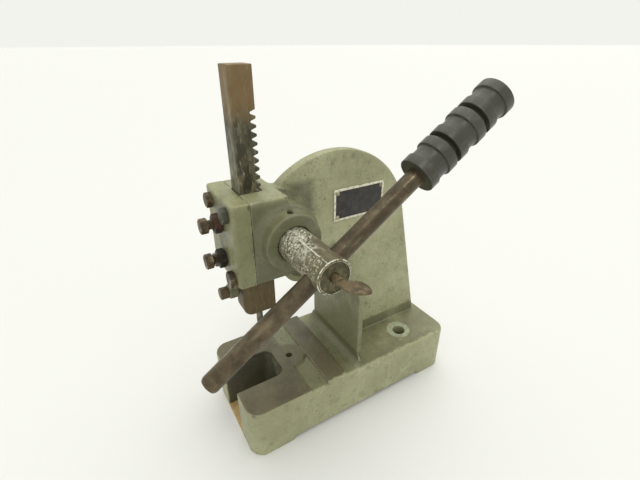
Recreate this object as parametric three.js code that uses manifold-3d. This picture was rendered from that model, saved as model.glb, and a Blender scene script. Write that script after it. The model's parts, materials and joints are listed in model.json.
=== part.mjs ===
// An arbor press for the bench: a cast frame, a rack ram driven by a pinion shaft, and a sliding
// handle. Millimetres, +Z up, +X the handle side. Lengths along Y run back from the front of the
// base, and the group is moved at the end so that the origin lies under the rear foot.
import * as THREE from "three";
import { mergeVertices } from "three/addons/utils/BufferGeometryUtils.js";
import Module from "manifold-3d";

const wasm = await Module();
wasm.setup();

// Fits between pieces
const fitGap = 0.3;
const seamGap = 0.15;

// Rack and pinion, 12 diametral pitch
const gearModule = 25.4 / 12;
const toothCount = 12;
const pitchRadius = (gearModule * toothCount) / 2;
const toothPitch = Math.PI * gearModule;
const pressureTangent = Math.tan((20 * Math.PI) / 180);
const toothBacklash = 0.3;
const pinionTipRadius = pitchRadius + gearModule - 0.2;

// Base casting
const baseHalfWidth = 56;
const baseLength = 254;
const baseCornerRadius = 15;
const castLevel = 56.2;
const machinedLevel = 59;
const frontFootBack = 45;
const rearFootFront = 213;
const footRise = 4.6;
const slotHalfWidth = 20;
const slotDepth = 52.5;
const slotCornerRadius = 8.5;
const tableBack = 65;
const ribFront = 84.5;
const ribBack = 107.5;
const hollow = { halfWidth: 47, front: 64, back: 212, top: 44 };
const boltHole = { x: 28.6, y: 201, radius: 7, spotRadius: 14, spotDepth: 0.6 };
const pad = { halfWidth: 38, front: 0.3, back: 62, thickness: 1.8 };

// Column
const flangeFront = 126.5;
const flangeThickness = 5.5;
const flangeHalfWidth = 45.3;
const webHalfThickness = 5.5;

// Head and the pinion axis
const pinionY = 57.5;
const pinionZ = 221.1;
const headHalfWidth = 32.5;
const headBottom = 183.5;
const headTop = 257.4;
const seamY = 27.3;
const headBack = 55.7;
const bossRadius = 29;
const bossFaceX = 46.7;
const leftBossX = -38;
const hubBoreRadius = 14.95;
const journalBoreRadius = 10.1;
const channelHalfWidth = 9.8;
const channelBack = 47.3;

// Head cover, gib and lug
const coverFront = 12.3;
const coverBack = seamY - seamGap;
const gib = { halfWidth: 9, front: 22.5, back: 27.55, bottom: 188, top: 253 };
const gibScrewHeights = { upper: 233, lower: 200 };
const gibScrewRadius = 4.1;
const coverBoltX = 19.8;
const coverBoltHeights = { upper: 246.7, lower: 188.3 };
const coverBoltFlats = { usual: 11.8, lower_right: 14 };
const coverBoltRadius = 3;
const gibScrewFlats = 11.8;
const gibLocknutFlats = 15.2;
const lockScrewZ = 164;
const lug = { halfWidth: 7, front: 10.6, back: 19, neckHalfWidth: 5.6, neckFront: 14.6, neckBack: 20 };
const lockScrewFlats = 10;

// Ram
const ramHalfWidth = 9.525;
const ramFront = 27.9;
const rackPitchY = pinionY - pitchRadius;
const ramBack = rackPitchY + gearModule + 0.03;
const ramTop = 352;
const topRootZ = 318.7;
const rootCount = 19;
const ramFoot = { front: 21.2, back: 53.1, bottom: 136.2, top: 178, toe: 9, heel: 4, edge: 1.6 };
const ramPin = { y: 38.5, radius: 3.1, bottom: 118, top: 150 };

// Pinion shaft and handle
const hubRadius = 14.6;
const hubEndX = 104.6;
const journalRadius = 9.85;
const rodX = 90.3;
const rodRadius = 7.2;
const handleTilt = (34.5 * Math.PI) / 180;
const rodSpan = { low: -114, high: 184 };
const gripSpan = { low: 97.5, high: 189 };
const gripRadius = 15.7;
const gripDrums = { count: 3, gap: 4.8, neck: 10.4 };

// Nameplate
const plate = { y0: 120, y1: 179.5, z0: 209.5, z1: 242, thickness: 1 };

const paint = { color: "#939174", roughness: 0.62, metalness: 0.05 };
const paintedCover = { color: "#7a775a", roughness: 0.6, metalness: 0.05 };
const rustySteel = { color: "#6b5a49", roughness: 0.6, metalness: 0.8 };
const darkSteel = { color: "#4a463f", roughness: 0.5, metalness: 0.85 };
const brownSteel = { color: "#73613f", roughness: 0.5, metalness: 0.75 };
const wornSteel = { color: "#8d8677", roughness: 0.42, metalness: 0.85 };
const gripMaterial = { color: "#5f5b50", roughness: 0.5, metalness: 0.3 };
const padMaterial = { color: "#8f7d5b", roughness: 0.9, metalness: 0 };
const plateMaterial = { color: "#24221f", roughness: 0.45, metalness: 0.5 };

// Turns a closed three.js geometry into a solid that can be cut and joined.
function solid(geometry) {
  const bare = geometry.index ? geometry.toNonIndexed() : geometry.clone();
  bare.deleteAttribute("normal");
  bare.deleteAttribute("uv");
  const merged = mergeVertices(bare, 1e-4);
  const corners = merged.index.array;
  const kept = [];
  for (let i = 0; i < corners.length; i += 3) {
    const [a, b, c] = [corners[i], corners[i + 1], corners[i + 2]];
    if (a !== b && b !== c && c !== a) kept.push(a, b, c);
  }
  const build = (triangles) =>
    new wasm.Manifold(
      new wasm.Mesh({
        numProp: 3,
        vertProperties: merged.attributes.position.array,
        triVerts: new Uint32Array(triangles),
      }),
    );
  const made = build(kept);
  return made.volume() >= 0 ? made : build(kept.reverse());
}

const joined = (...bodies) => wasm.Manifold.union(bodies);

function meshOf(name, body, material) {
  const data = body.getMesh();
  const geometry = new THREE.BufferGeometry()
    .setAttribute("position", new THREE.BufferAttribute(new Float32Array(data.vertProperties), 3))
    .setIndex(new THREE.BufferAttribute(new Uint32Array(data.triVerts), 1));
  const flat = geometry.toNonIndexed();
  flat.computeVertexNormals();
  const mesh = new THREE.Mesh(flat, new THREE.MeshStandardMaterial(material));
  mesh.name = name;
  return mesh;
}

function box(x0, x1, y0, y1, z0, z1) {
  const geometry = new THREE.BoxGeometry(x1 - x0, y1 - y0, z1 - z0);
  geometry.translate((x0 + x1) / 2, (y0 + y1) / 2, (z0 + z1) / 2);
  return solid(geometry);
}

// Extrusions: a bevel rounds both ends inside the stated outline and length.
function extruded(shape, length, bevel, curveSegments) {
  return new THREE.ExtrudeGeometry(shape, {
    depth: length - 2 * bevel,
    steps: 1,
    curveSegments,
    bevelEnabled: bevel > 0,
    bevelThickness: bevel,
    bevelSize: bevel,
    bevelOffset: -bevel,
    bevelSegments: 2,
  }).translate(0, 0, bevel);
}

function alongZ(shape, z0, z1, bevel = 0, curveSegments = 8) {
  return solid(extruded(shape, z1 - z0, bevel, curveSegments).translate(0, 0, z0));
}

// The shape's two coordinates are y and z.
function alongX(shape, x0, x1, bevel = 0, curveSegments = 12) {
  const turn = new THREE.Matrix4().makeBasis(
    new THREE.Vector3(0, 1, 0),
    new THREE.Vector3(0, 0, 1),
    new THREE.Vector3(1, 0, 0),
  );
  const geometry = extruded(shape, x1 - x0, bevel, curveSegments).applyMatrix4(turn);
  return solid(geometry.translate(x0, 0, 0));
}

// The shape's two coordinates are x and z.
function alongY(shape, y0, y1, bevel = 0, curveSegments = 8) {
  const geometry = extruded(shape, y1 - y0, bevel, curveSegments).rotateX(Math.PI / 2);
  return solid(geometry.translate(0, y1, 0));
}

function roundedRectangle(x0, x1, y0, y1, radius) {
  const shape = new THREE.Shape();
  shape.moveTo(x0 + radius, y0);
  shape.lineTo(x1 - radius, y0);
  shape.absarc(x1 - radius, y0 + radius, radius, -Math.PI / 2, 0);
  shape.lineTo(x1, y1 - radius);
  shape.absarc(x1 - radius, y1 - radius, radius, 0, Math.PI / 2);
  shape.lineTo(x0 + radius, y1);
  shape.absarc(x0 + radius, y1 - radius, radius, Math.PI / 2, Math.PI);
  shape.lineTo(x0, y0 + radius);
  shape.absarc(x0 + radius, y0 + radius, radius, Math.PI, Math.PI * 1.5);
  return shape;
}

// A turned piece: [radius, distance] pairs from one end to the other along an axis.
function turned(profile, origin, axis, segments = 40) {
  const ends = [[0, profile[0][1]], ...profile, [0, profile.at(-1)[1]]];
  const points = ends.map(([radius, along]) => new THREE.Vector2(radius, along));
  const geometry = new THREE.LatheGeometry(points, segments);
  const facing = new THREE.Quaternion().setFromUnitVectors(
    new THREE.Vector3(0, 1, 0),
    axis.clone().normalize(),
  );
  return solid(geometry.applyQuaternion(facing).translate(origin.x, origin.y, origin.z));
}

const at = (x, y, z) => new THREE.Vector3(x, y, z);
const alongPlusX = at(1, 0, 0);
const alongPlusY = at(0, 1, 0);
const alongPlusZ = at(0, 0, 1);
const handleAxis = at(0, Math.cos(handleTilt), Math.sin(handleTilt));
const hubCentre = at(0, pinionY, pinionZ);
const rodCentre = at(rodX, pinionY, pinionZ);

function cylinder(radius, origin, axis, from, to, segments = 32) {
  return turned([[radius, from], [radius, to]], origin, axis, segments);
}

// A hexagonal head with its corners turned off at both ends.
function hexHead(acrossFlats, origin, axis, from, to) {
  const cornerRadius = acrossFlats / Math.sqrt(3);
  const chamfer = cornerRadius - acrossFlats / 2;
  const hexagon = turned([[cornerRadius, from], [cornerRadius, to]], origin, axis, 6);
  const turning = [
    [cornerRadius - chamfer, from],
    [cornerRadius, from + chamfer * 0.6],
    [cornerRadius, to - chamfer * 0.6],
    [cornerRadius - chamfer, to],
  ];
  return hexagon.intersect(turned(turning, origin, axis, 24));
}

// The frame casting: base, column and head in one.

function baseBody() {
  const outline = roundedRectangle(-baseHalfWidth, baseHalfWidth, 0, baseLength, baseCornerRadius);
  const cast = alongZ(outline, -6, castLevel, 3).intersect(box(-70, 70, -5, 300, 0, 80));
  const machinedSlab = alongZ(outline, castLevel - 8, machinedLevel, 0.8);
  const table = machinedSlab.intersect(box(-70, 70, -5, tableBack, 40, 80));
  const rib = machinedSlab.intersect(box(-70, 70, ribFront, ribBack, 40, 80));
  const pinBoss = cylinder(17, at(0, 68, 0), alongPlusZ, castLevel - 2, machinedLevel, 36);
  return joined(cast, table, rib, pinBoss);
}

function baseCuts() {
  const slot = roundedRectangle(-slotHalfWidth, slotHalfWidth, -40, slotDepth, slotCornerRadius);
  const inside = roundedRectangle(-hollow.halfWidth, hollow.halfWidth, hollow.front, hollow.back, 8);
  const holes = [-boltHole.x, boltHole.x].flatMap((x) => [
    cylinder(boltHole.radius, at(x, boltHole.y, 0), alongPlusZ, 30, 70),
    cylinder(
      boltHole.spotRadius,
      at(x, boltHole.y, 0),
      alongPlusZ,
      castLevel - boltHole.spotDepth,
      70,
      40,
    ),
  ]);
  return joined(
    alongZ(slot, -10, 70),
    alongZ(inside, -10, hollow.top),
    box(-70, 70, frontFootBack, rearFootFront, -10, footRise),
    box(-pad.halfWidth - fitGap, pad.halfWidth + fitGap, -1, pad.back + fitGap, -1, pad.thickness + fitGap),
    cylinder(3.4, at(0, 68, 0), alongPlusZ, 50, 70, 24),
    ...holes,
  );
}

// The throat: up the front of the column, forward in a quarter turn, and up into the head.
function throatPath(path, offset) {
  const inner = { y: 102.5, z: 135, radius: 24 + offset };
  const outer = { y: 82, z: 181, radius: 22 - offset };
  path.lineTo(inner.y + inner.radius, inner.z);
  path.absarc(inner.y, inner.z, inner.radius, 0, Math.PI / 2, false);
  path.lineTo(outer.y, outer.z - outer.radius);
  path.absarc(outer.y, outer.z, outer.radius, -Math.PI / 2, -Math.PI, true);
}

function column() {
  const webTopCentre = { y: 123, z: 191.5, radius: 88 };
  const web = new THREE.Shape();
  web.moveTo(flangeFront, castLevel - 4);
  throatPath(web, 0);
  web.lineTo(60, headTop - 4);
  web.lineTo(webTopCentre.y - 55.5, webTopCentre.z + 68.3);
  web.absarc(webTopCentre.y, webTopCentre.z, webTopCentre.radius, 2.253, 0.2292, true);
  web.lineTo(242.6, 66.7);
  web.lineTo(245, castLevel - 4);
  web.closePath();

  const flange = new THREE.Shape();
  flange.moveTo(flangeFront, castLevel - 4);
  throatPath(flange, 0);
  flange.lineTo(60, 200);
  flange.lineTo(60 + flangeThickness, 200);
  const inner = { y: 102.5, z: 135, radius: 24 + flangeThickness };
  const outer = { y: 82, z: 181, radius: 22 - flangeThickness };
  flange.absarc(outer.y, outer.z, outer.radius, Math.PI, Math.PI * 1.5, false);
  flange.lineTo(inner.y, inner.z + inner.radius);
  flange.absarc(inner.y, inner.z, inner.radius, Math.PI / 2, 0, true);
  flange.lineTo(inner.y + inner.radius, castLevel - 4);
  flange.closePath();

  const plan = new THREE.Shape();
  const neck = 14;
  plan.moveTo(-neck, 50);
  plan.lineTo(neck, 50);
  plan.lineTo(neck, 84);
  plan.bezierCurveTo(neck + 2, 98, flangeHalfWidth - 3, 98, flangeHalfWidth, 114);
  plan.lineTo(flangeHalfWidth + 0.5, 150);
  plan.lineTo(-flangeHalfWidth - 0.5, 150);
  plan.lineTo(-flangeHalfWidth, 114);
  plan.bezierCurveTo(-flangeHalfWidth + 3, 98, -neck - 2, 98, -neck, 84);
  plan.closePath();

  const foot = new THREE.Shape();
  foot.moveTo(flangeFront - 9, castLevel - 2);
  foot.lineTo(flangeFront - 9, castLevel);
  foot.absarc(flangeFront - 9, castLevel + 9, 9, -Math.PI / 2, 0, false);
  foot.lineTo(flangeFront + 2, castLevel + 9);
  foot.lineTo(flangeFront + 2, castLevel - 2);
  foot.closePath();

  return joined(
    alongX(web, -webHalfThickness, webHalfThickness, 1.5, 18),
    alongX(flange, -60, 60, 0, 10).intersect(alongZ(plan, 40, 230, 0, 8)),
    alongX(foot, -flangeHalfWidth - 4, flangeHalfWidth + 4, 0, 5),
  );
}

function head() {
  const blockOutline = roundedRectangle(-headHalfWidth, headHalfWidth, headBottom, headTop, 2);
  const block = alongY(blockOutline, seamY, headBack + 4, 0, 4);
  const bossProfile = [
    [24.6, leftBossX],
    [bossRadius - 1.5, leftBossX + 1.6],
    [bossRadius, leftBossX + 4],
    [bossRadius, -13],
    [bossRadius + 1, -9],
    [bossRadius + 1, 9],
    [bossRadius, 13],
    [bossRadius, 34.5],
    [bossRadius - 0.4, 35.3],
    [bossRadius - 2.4, 36.6],
    [bossRadius - 3.4, 38.6],
    [bossRadius - 3.8, 41],
    [bossRadius - 4, 45.8],
    [24.4, bossFaceX],
  ];
  const filletProfile = [
    [bossRadius + 3.2, 28],
    [bossRadius + 3.2, headHalfWidth + 0.2],
    [bossRadius + 1.4, headHalfWidth + 0.7],
    [bossRadius + 0.3, headHalfWidth + 2],
  ];
  const filletHalf = turned(filletProfile, hubCentre, alongPlusX, 48).intersect(
    box(20, 50, seamY - 4, headBack + 4, headBottom, headTop),
  );
  const collarProfile = [
    [bossRadius - 2, -12],
    [bossRadius + 1.4, -9.6],
    [bossRadius + 4, -8.2],
    [bossRadius + 6, -7.8],
    [bossRadius + 6.6, -webHalfThickness],
    [bossRadius + 6.6, webHalfThickness],
    [bossRadius + 6, 7.8],
    [bossRadius + 4, 8.2],
    [bossRadius + 1.4, 9.6],
    [bossRadius - 2, 12],
  ];
  const collar = turned(collarProfile, hubCentre, alongPlusX, 48).intersect(
    box(-20, 20, headBack + 2, 120, pinionZ - 20, headTop + 10),
  );
  return joined(block, turned(bossProfile, hubCentre, alongPlusX, 48), filletHalf, collar);
}

function headCuts() {
  const coverBoltHoles = everyCoverBolt(({ x, z }) =>
    cylinder(coverBoltRadius + fitGap, at(x, 0, z), alongPlusY, seamY - 5, 43, 24),
  );
  return joined(
    box(-60, 60, 0, seamY, headBottom - 5, headTop + 5),
    box(-channelHalfWidth, channelHalfWidth, seamY - 5, channelBack, headBottom - 20, headTop + 20),
    cylinder(hubBoreRadius, hubCentre, alongPlusX, -10, bossFaceX + 5, 48),
    cylinder(journalBoreRadius, hubCentre, alongPlusX, leftBossX - 5, 0, 40),
    cylinder(2.4, at(39, pinionY, pinionZ), alongPlusZ, 10, 40, 20),
    ...coverBoltHoles,
  );
}

function everyCoverBolt(make) {
  return Object.entries(coverBoltHeights).flatMap(([level, z]) =>
    [-1, 1].map((side) =>
      make({ x: side * coverBoltX, z, name: level + (side > 0 ? "_right" : "_left") }),
    ),
  );
}

function everyRivet(make) {
  const inset = 4;
  const corners = { upper: plate.z1 - inset, lower: plate.z0 + inset };
  return Object.entries(corners).flatMap(([level, z]) => [
    make({ y: plate.y0 + inset, z, name: level + "_front" }),
    make({ y: plate.y1 - inset, z, name: level + "_rear" }),
  ]);
}

function frameCasting() {
  const rivetHoles = everyRivet(({ y, z }) => cylinder(1.3, at(0, y, z), alongPlusX, 2.2, 8, 16));
  const whole = joined(baseBody(), column(), head());
  return whole.subtract(joined(baseCuts(), headCuts(), ...rivetHoles));
}

// The cover, the gib behind it and their screws.

function headCover() {
  const plan = new THREE.Shape();
  const corner = 3.6;
  plan.moveTo(-headHalfWidth, coverBack);
  plan.lineTo(-headHalfWidth, coverFront + corner);
  plan.absarc(-headHalfWidth + corner, coverFront + corner, corner, Math.PI, Math.PI * 1.5, false);
  plan.lineTo(headHalfWidth - corner, coverFront);
  plan.absarc(headHalfWidth - corner, coverFront + corner, corner, -Math.PI / 2, 0, false);
  plan.lineTo(headHalfWidth, coverBack + 3);
  plan.lineTo(-headHalfWidth, coverBack + 3);
  plan.closePath();
  const block = alongZ(plan, headBottom, headTop, 1.5, 6).intersect(
    box(-50, 50, 0, coverBack, 150, 300),
  );
  const lugPad = turned(
    [
      [lug.halfWidth - 0.9, lug.front],
      [lug.halfWidth, lug.front + 0.9],
      [lug.halfWidth, lug.back - 0.9],
      [lug.halfWidth - 0.9, lug.back],
    ],
    at(0, 0, lockScrewZ),
    alongPlusY,
    32,
  );
  const neckShape = roundedRectangle(-lug.neckHalfWidth, lug.neckHalfWidth, lockScrewZ - 3, headBottom + 5, 1.5);
  const lugNeck = alongY(neckShape, lug.neckFront, lug.neckBack, 0.8, 4);
  const pocket = box(
    -gib.halfWidth - fitGap,
    gib.halfWidth + fitGap,
    gib.front - fitGap,
    seamY + 5,
    gib.bottom - fitGap,
    gib.top + fitGap,
  );
  const gibHoles = Object.values(gibScrewHeights).map((z) =>
    cylinder(gibScrewRadius + fitGap, at(0, 0, z), alongPlusY, 5, 25, 28),
  );
  const boltHoles = everyCoverBolt(({ x, z }) =>
    cylinder(coverBoltRadius + fitGap, at(x, 0, z), alongPlusY, 5, 35, 24),
  );
  const lockHole = cylinder(3.3, at(0, 0, lockScrewZ), alongPlusY, 5, 30, 24);
  return joined(block, lugPad, lugNeck).subtract(joined(pocket, lockHole, ...gibHoles, ...boltHoles));
}

function gibStrip() {
  return box(-gib.halfWidth, gib.halfWidth, gib.front, gib.back, gib.bottom, gib.top);
}

function coverBolt({ x, z, name }) {
  const origin = at(x, 0, z);
  const r = coverBoltRadius;
  const shank = turned([[r, 10], [r, 40.4], [r - 0.8, 41.4]], origin, alongPlusY, 24);
  return joined(hexHead(coverBoltFlats[name] ?? coverBoltFlats.usual, origin, alongPlusY, 7, coverFront - fitGap), shank);
}

function gibScrew(z) {
  const origin = at(0, 0, z);
  const tipY = gib.front - fitGap;
  const shank = turned(
    [[gibScrewRadius, 0], [gibScrewRadius, tipY - 1], [gibScrewRadius - 1, tipY]],
    origin,
    alongPlusY,
    28,
  );
  return joined(hexHead(gibScrewFlats, origin, alongPlusY, -5.3, 1.2), shank);
}

function gibLocknut(z) {
  const origin = at(0, 0, z);
  const hole = cylinder(gibScrewRadius + fitGap, origin, alongPlusY, 0, 20, 28);
  return hexHead(gibLocknutFlats, origin, alongPlusY, 5.5, coverFront - fitGap).subtract(hole);
}

function ramLockScrew() {
  const origin = at(0, 0, lockScrewZ);
  const tipY = ramFoot.front - fitGap;
  const shank = turned([[3, 8], [3, tipY - 0.8], [2.2, tipY]], origin, alongPlusY, 24);
  return joined(hexHead(lockScrewFlats, origin, alongPlusY, 2.9, lug.front - fitGap), shank);
}

// One tooth of the rack, as wide as given at the pitch line, in y and z about a height.
function rackTooth(centreZ, widthAtPitch, tipY, rootY) {
  const halfTip = widthAtPitch / 2 - (tipY - rackPitchY) * pressureTangent;
  const halfRoot = widthAtPitch / 2 + (rackPitchY - rootY) * pressureTangent;
  const shape = new THREE.Shape();
  shape.moveTo(rootY, centreZ - halfRoot);
  shape.lineTo(tipY, centreZ - halfTip);
  shape.lineTo(tipY, centreZ + halfTip);
  shape.lineTo(rootY, centreZ + halfRoot);
  shape.closePath();
  return shape;
}

const rootDepth = gearModule * 1.13;

function ram() {
  const barShape = roundedRectangle(-ramHalfWidth, ramHalfWidth, ramFront, ramBack, 1);
  const bar = alongZ(barShape, ramFoot.bottom + 10, ramTop, 0.6, 3);
  const { front, back, bottom, top, toe, heel, edge } = ramFoot;
  const footShape = new THREE.Shape();
  footShape.moveTo(front + toe, bottom);
  footShape.lineTo(back - heel, bottom);
  footShape.absarc(back - heel, bottom + heel, heel, -Math.PI / 2, 0);
  footShape.lineTo(back, top - 3);
  footShape.absarc(back - 3, top - 3, 3, 0, Math.PI / 2);
  footShape.lineTo(front + 3, top);
  footShape.absarc(front + 3, top - 3, 3, Math.PI / 2, Math.PI);
  footShape.lineTo(front, bottom + toe);
  footShape.absarc(front + toe, bottom + toe, toe, Math.PI, Math.PI * 1.5);
  const foot = alongX(footShape, -ramHalfWidth, ramHalfWidth, edge, 6);
  const gapWidth = toothPitch / 2;
  const gapMouth = ramBack + 1;
  const gaps = Array.from({ length: rootCount }, (_, i) => {
    const z = topRootZ - i * toothPitch;
    const atRoot = gapWidth / 2 - rootDepth * pressureTangent;
    const atMouth = gapWidth / 2 + (gapMouth - rackPitchY) * pressureTangent;
    const shape = new THREE.Shape();
    shape.moveTo(rackPitchY - rootDepth, z - atRoot);
    shape.lineTo(gapMouth, z - atMouth);
    shape.lineTo(gapMouth, z + atMouth);
    shape.lineTo(rackPitchY - rootDepth, z + atRoot);
    shape.closePath();
    return alongX(shape, -20, 20);
  });
  const pinHole = cylinder(ramPin.radius + 0.2, at(0, ramPin.y, 0), alongPlusZ, 120, 151, 24);
  return joined(bar, foot).subtract(joined(pinHole, ...gaps));
}

function ramPinBody() {
  const { radius, bottom, top, y } = ramPin;
  return turned(
    [[radius - 0.7, bottom], [radius, bottom + 0.7], [radius, top]],
    at(0, y, 0),
    alongPlusZ,
    24,
  );
}

function aboutHub(body, degrees) {
  return body
    .translate([0, -pinionY, -pinionZ])
    .rotate([degrees, 0, 0])
    .translate([0, pinionY, pinionZ]);
}

// The gap that one rack tooth leaves in the blank while rack and pinion roll together.
function toothGap() {
  const steps = 8;
  const reach = 33;
  const tipY = rackPitchY + gearModule + fitGap;
  const cutters = Array.from({ length: steps + 1 }, (_, i) => {
    const degrees = reach * ((2 * i) / steps - 1);
    const shift = (pitchRadius * degrees * Math.PI) / 180;
    const width = toothPitch / 2 + toothBacklash;
    const tooth = alongX(rackTooth(pinionZ - shift, width, tipY, rackPitchY - 4), -11, 9.7);
    return aboutHub(tooth, -degrees);
  });
  return wasm.Manifold.union(cutters);
}

function rackPhaseDegrees() {
  const toothZ = topRootZ - toothPitch / 2;
  const turnsAway = Math.round((toothZ - pinionZ) / toothPitch);
  const offset = toothZ - turnsAway * toothPitch - pinionZ;
  return (-offset / pitchRadius) * (180 / Math.PI);
}

function pinionShaft() {
  const profile = [
    [journalRadius - 0.8, leftBossX + 0.3],
    [journalRadius, leftBossX + 1.1],
    [journalRadius, -9.7],
    [pinionTipRadius, -9.7],
    [pinionTipRadius, 9.7],
    [hubRadius, 9.7],
    [hubRadius, hubEndX - 1.3],
    [hubRadius - 1.3, hubEndX],
    [hubRadius - 2.3, hubEndX],
    [hubRadius - 2.6, hubEndX - 1.2],
  ];
  const blank = turned(profile, hubCentre, alongPlusX, 40);
  const gap = toothGap();
  const gaps = Array.from({ length: toothCount }, (_, i) =>
    aboutHub(gap, rackPhaseDegrees() + (i * 360) / toothCount),
  );
  const rodHole = cylinder(rodRadius + fitGap, rodCentre, handleAxis, -30, 30, 40);
  const screwHole = cylinder(3.65, hubCentre, alongPlusX, rodX, hubEndX + 5, 24);
  const boltBore = cylinder(4.1, hubCentre, alongPlusX, leftBossX - 5, -19, 24);
  return blank.subtract(joined(rodHole, screwHole, boltBore, ...gaps));
}

const washerFaceX = leftBossX - fitGap;
const washerThickness = 2.2;

function pinionWasher() {
  const ring = cylinder(14, hubCentre, alongPlusX, washerFaceX - washerThickness, washerFaceX, 40);
  return ring.subtract(cylinder(4.4, hubCentre, alongPlusX, -60, 0, 24));
}

function retainingBolt() {
  const headRight = washerFaceX - washerThickness - fitGap;
  const shank = cylinder(3.8, hubCentre, alongPlusX, headRight - 1, -19.6, 24);
  return joined(hexHead(14.3, hubCentre, alongPlusX, headRight - 5.6, headRight), shank);
}

function handleRod() {
  const { low, high } = rodSpan;
  const profile = [
    [rodRadius - 2.6, low],
    [rodRadius - 0.8, low + 0.8],
    [rodRadius, low + 2.6],
    [rodRadius, high - 1],
    [rodRadius - 1, high],
  ];
  return turned(profile, rodCentre, handleAxis, 36);
}

// Three drums on one core, each with a raised rim at both ends and a narrow gap to the next.
function handleGrip() {
  const pitch = (gripSpan.high - gripSpan.low + gripDrums.gap) / gripDrums.count;
  const drum = pitch - gripDrums.gap;
  const profile = Array.from({ length: gripDrums.count }, (_, i) => {
    const low = gripSpan.low + i * pitch;
    const sides = [
      [gripRadius - 1.1, low],
      [gripRadius - 0.4, low + 0.7],
      [gripRadius - 0.4, low + 8.4],
      [gripRadius - 1.7, low + 9],
      [gripRadius - 1.7, low + drum - 9.1],
      [gripRadius, low + drum - 8.5],
      [gripRadius, low + drum - 0.8],
      [gripRadius - 0.8, low + drum],
    ];
    const core = [
      [gripDrums.neck, low + drum],
      [gripDrums.neck, low + pitch],
    ];
    return i < gripDrums.count - 1 ? [...sides, ...core] : sides;
  }).flat();
  const bore = cylinder(rodRadius + fitGap, rodCentre, handleAxis, gripSpan.low - 5, rodSpan.high + fitGap, 36);
  return turned(profile, rodCentre, handleAxis, 32).subtract(bore);
}

// A screw whose end is hammered out flat into a leaf, wider on the rear side.
function thumbScrew() {
  const tipX = rodX + rodRadius + fitGap;
  const shank = turned([[2.6, tipX], [3.35, tipX + 0.8], [3.35, 111]], hubCentre, alongPlusX, 24);
  const leaf = new THREE.Shape();
  leaf.moveTo(108.5, pinionY - 3);
  leaf.lineTo(117, pinionY - 2.9);
  leaf.quadraticCurveTo(124, pinionY - 1.8, 127.3, pinionY + 1.4);
  leaf.quadraticCurveTo(130.9, pinionY + 5.4, 131.6, pinionY + 9.6);
  leaf.quadraticCurveTo(131.7, pinionY + 12, 129.3, pinionY + 12.7);
  leaf.quadraticCurveTo(122.6, pinionY + 14.4, 118.4, pinionY + 12.4);
  leaf.quadraticCurveTo(115.3, pinionY + 10.6, 113.6, pinionY + 7);
  leaf.quadraticCurveTo(112, pinionY + 4.2, 108.5, pinionY + 3);
  leaf.closePath();
  return joined(shank, alongZ(leaf, pinionZ - 1.3, pinionZ + 0.9, 0.5, 6));
}

const plateBackX = webHalfThickness + seamGap;

function nameplate() {
  const outline = roundedRectangle(plate.y0, plate.y1, plate.z0, plate.z1, 2);
  const sheet = alongX(outline, plateBackX, plateBackX + plate.thickness, 0, 4);
  const holes = everyRivet(({ y, z }) => cylinder(1.3, at(0, y, z), alongPlusX, 0, 10, 16));
  return sheet.subtract(joined(...holes));
}

function rivet({ y, z }) {
  const headBase = plateBackX + plate.thickness + 0.1;
  return turned(
    [[1, 2.6], [1, headBase], [2.1, headBase], [1.8, headBase + 0.7], [0.9, headBase + 1.1]],
    at(0, y, z),
    alongPlusX,
    16,
  );
}

function basePad() {
  return box(-pad.halfWidth, pad.halfWidth, pad.front, pad.back, 0, pad.thickness);
}

const press = new THREE.Group();
press.name = "arbor_press";
press.add(
  meshOf("frame_casting", frameCasting(), paint),
  meshOf("head_cover", headCover(), paintedCover),
  meshOf("gib_strip", gibStrip(), darkSteel),
  meshOf("gib_screw_upper", gibScrew(gibScrewHeights.upper), rustySteel),
  meshOf("gib_screw_lower", gibScrew(gibScrewHeights.lower), rustySteel),
  meshOf("gib_locknut_upper", gibLocknut(gibScrewHeights.upper), rustySteel),
  meshOf("gib_locknut_lower", gibLocknut(gibScrewHeights.lower), darkSteel),
  meshOf("ram_lock_screw", ramLockScrew(), rustySteel),
  meshOf("ram", ram(), brownSteel),
  meshOf("ram_pin", ramPinBody(), wornSteel),
  meshOf("pinion_shaft", pinionShaft(), wornSteel),
  meshOf("pinion_washer", pinionWasher(), darkSteel),
  meshOf("pinion_retaining_bolt", retainingBolt(), rustySteel),
  meshOf("handle_rod", handleRod(), rustySteel),
  meshOf("handle_grip", handleGrip(), gripMaterial),
  meshOf("thumb_screw", thumbScrew(), rustySteel),
  meshOf("nameplate", nameplate(), plateMaterial),
  meshOf("base_pad", basePad(), padMaterial),
  ...everyCoverBolt((place) => meshOf("cover_bolt_" + place.name, coverBolt(place), rustySteel)),
  ...everyRivet((place) => meshOf("nameplate_rivet_" + place.name, rivet(place), wornSteel)),
);

// The origin sits on the bench under the middle of the rear foot.
press.position.y = -(rearFootFront + 21);

export default press;
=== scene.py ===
import json
import math

import bmesh
import bpy
import numpy as np
from mathutils import Matrix, Vector


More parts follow.
